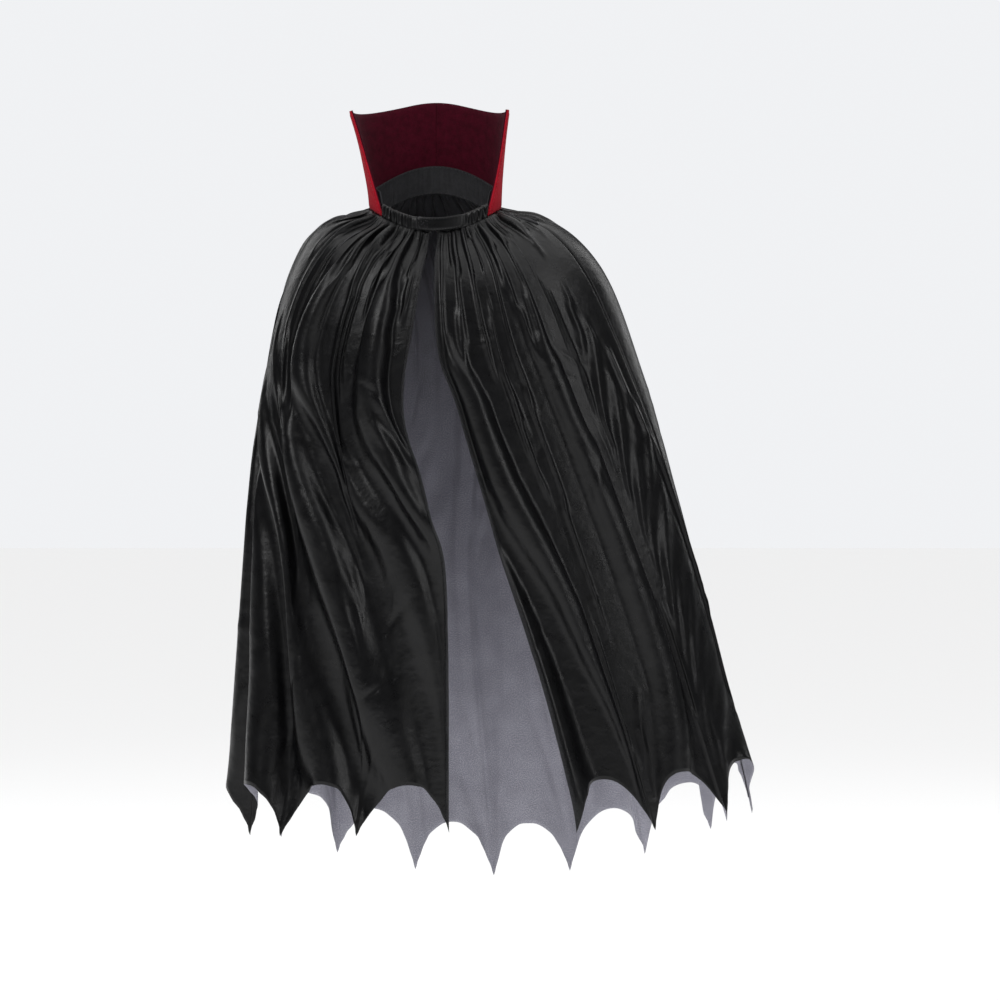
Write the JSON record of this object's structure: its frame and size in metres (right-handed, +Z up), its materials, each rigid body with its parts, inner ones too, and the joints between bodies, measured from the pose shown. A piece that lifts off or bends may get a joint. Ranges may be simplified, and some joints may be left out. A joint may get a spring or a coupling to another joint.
{
  "type": "masquerade cape with stand-up collar",
  "caption": "Child's gathered satin masquerade cape with scalloped bat-wing hem, stiff stand-up collar, front flaps that fold back and a hook-and-loop throat tab",
  "frame": {"origin": "the centre of the neck opening, level with the neckline at the shoulders", "axes": "-Y is the front of the cape, +X the wearer's left, +Z up"},
  "size_m": [0.489, 0.2555, 0.7294],
  "materials": {
    "satin": "satin",
    "felt": "matte",
    "interlining": "matte",
    "thread": "matte",
    "tape": "matte",
    "hook_loop": "matte",
    "label": "satin"
  },
  "bodies": {
    "cape": {"back_panel": "satin", "left_front_panel": "satin", "left_upper_edge_overlock": "thread", "left_side_seam": "thread", "left_neck_casing": "satin", "left_collar_outer": "felt", "left_collar_stiffener": "interlining", "left_collar_lining": "felt", "right_front_panel": "satin", "right_upper_edge_overlock": "thread", "right_side_seam": "thread", "right_neck_casing": "satin", "right_collar_outer": "felt", "right_collar_stiffener": "interlining", "right_collar_lining": "felt", "neck_binding": "tape", "gathering_tape": "interlining", "tab_patch": "tape", "loop_strip": "hook_loop", "care_label": "label"},
    "left_front": {"left_front_flap": "satin", "left_flap_edge_overlock": "thread"},
    "right_front": {"right_front_flap": "satin", "right_flap_edge_overlock": "thread"},
    "left_collar_point": {"left_collar_point_outer": "felt", "left_collar_point_stiffener": "interlining", "left_collar_point_lining": "felt"},
    "right_collar_point": {"right_collar_point_outer": "felt", "right_collar_point_stiffener": "interlining", "right_collar_point_lining": "felt"},
    "closing_tab": {"closure_tab": "satin", "hook_strip": "hook_loop"}
  },
  "joints": [
    {"name": "left_front_fold", "type": "hinge", "parent": "cape", "child": "left_front", "pos_m": [0.02, -0.10292, -0.16686], "axis": [-0.5694, -0.1221, 0.8129], "range_deg": [0, 110]},
    {"name": "right_front_fold", "type": "hinge", "parent": "cape", "child": "right_front", "pos_m": [-0.032, -0.09928, -0.16384], "axis": [-0.301, 0.1227, -0.9457], "range_deg": [0, 110]},
    {"name": "left_collar_fold", "type": "hinge", "parent": "cape", "child": "left_collar_point", "pos_m": [0.05723, -0.02413, 0.02345], "axis": [0.0995, 0.5344, 0.8394], "range_deg": [0, 110], "stiffness_Nm_per_rad": 0.01},
    {"name": "right_collar_fold", "type": "hinge", "parent": "cape", "child": "right_collar_point", "pos_m": [-0.05869, -0.02479, 0.02296], "axis": [0.1983, -0.562, -0.803], "range_deg": [0, 110], "stiffness_Nm_per_rad": 0.01},
    {"name": "tab_peel", "type": "hinge", "parent": "cape", "child": "closing_tab", "pos_m": [-0.01587, -0.05977, -0.0226], "axis": [0, 0, -1], "range_deg": [0, 150], "stiffness_Nm_per_rad": 0.002}
  ]
}
